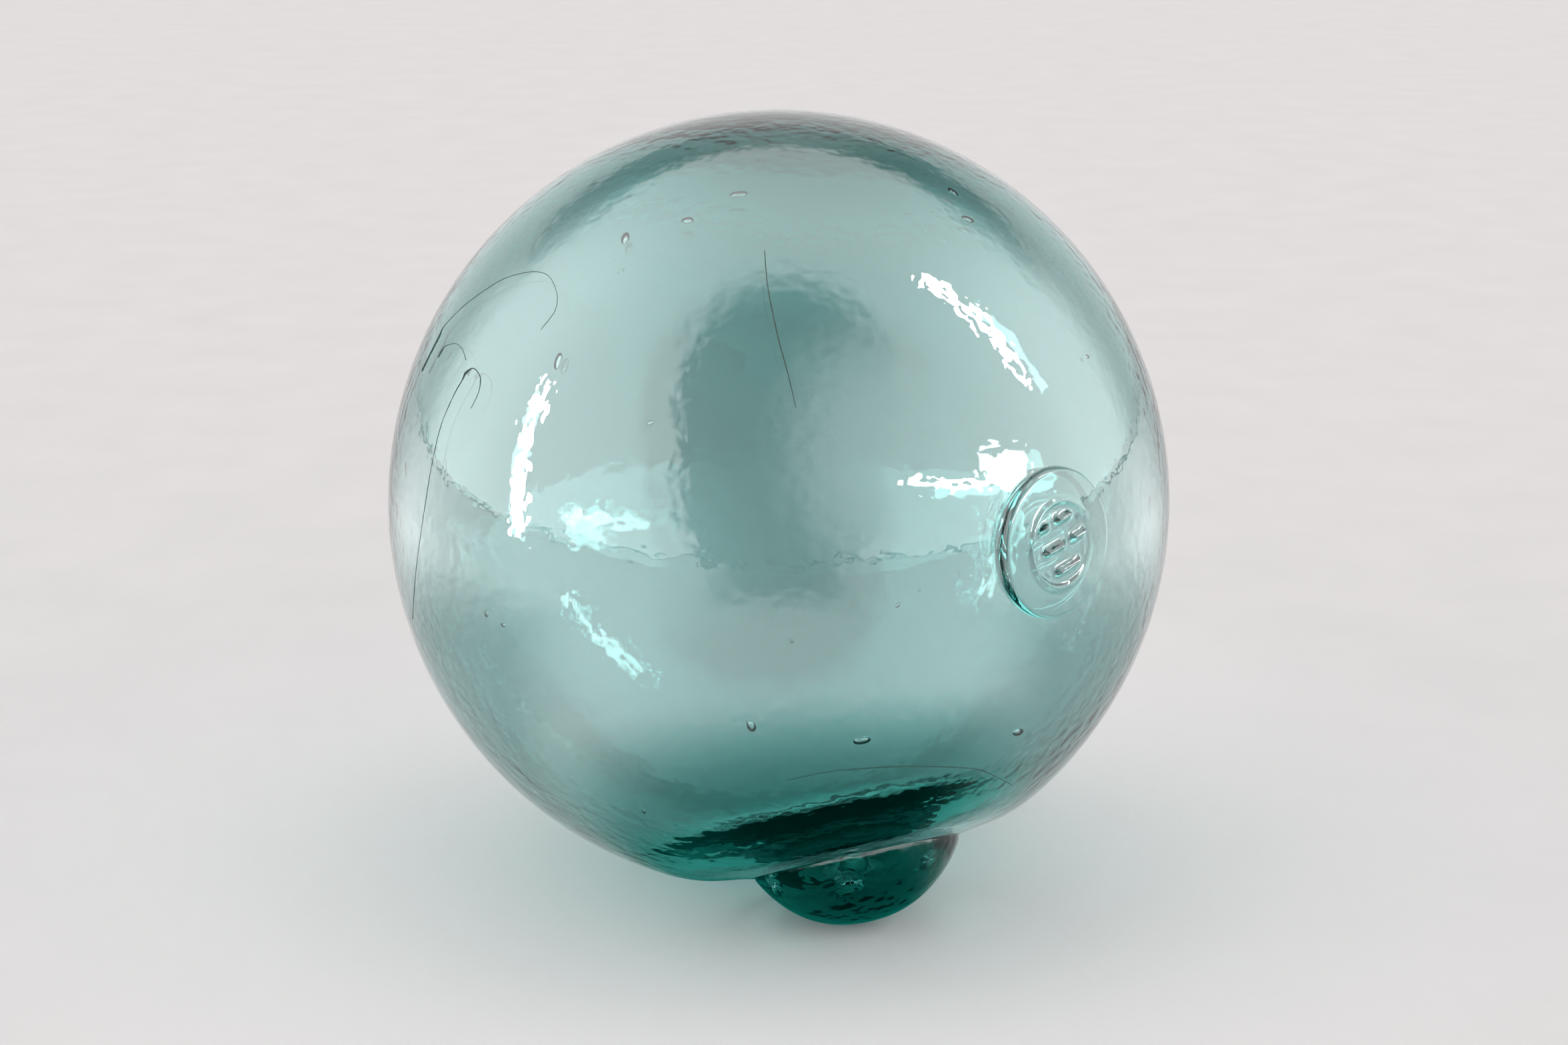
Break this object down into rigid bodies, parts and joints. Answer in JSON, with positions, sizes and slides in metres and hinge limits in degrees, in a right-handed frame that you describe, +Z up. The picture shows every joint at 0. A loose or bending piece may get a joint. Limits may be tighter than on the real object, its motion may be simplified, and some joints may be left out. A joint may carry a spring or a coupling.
{
  "type": "glass float ball",
  "caption": "Hollow blown glass ball for holding up a fishing net, closed by a domed seal button of thick glass, with a small stamped glass disc on its side.",
  "frame": {"origin": "on the ground under the centre of the ball, where it rests on its small flat", "axes": "+Z up. The seal button and the stamped disc face the front, -Y, the button low and the disc at mid height towards +X"},
  "size_m": [0.1248, 0.125, 0.1243],
  "materials": {
    "pale_glass": "clear pale sea-green blown glass, lightly scuffed",
    "thick_glass": "the same glass worked thick, so a deeper teal, with a fire-polished skin"
  },
  "bodies": {
    "root": {"ball": "pale_glass", "seal_button": "thick_glass", "stamped_disc": "thick_glass"}
  },
  "joints": []
}
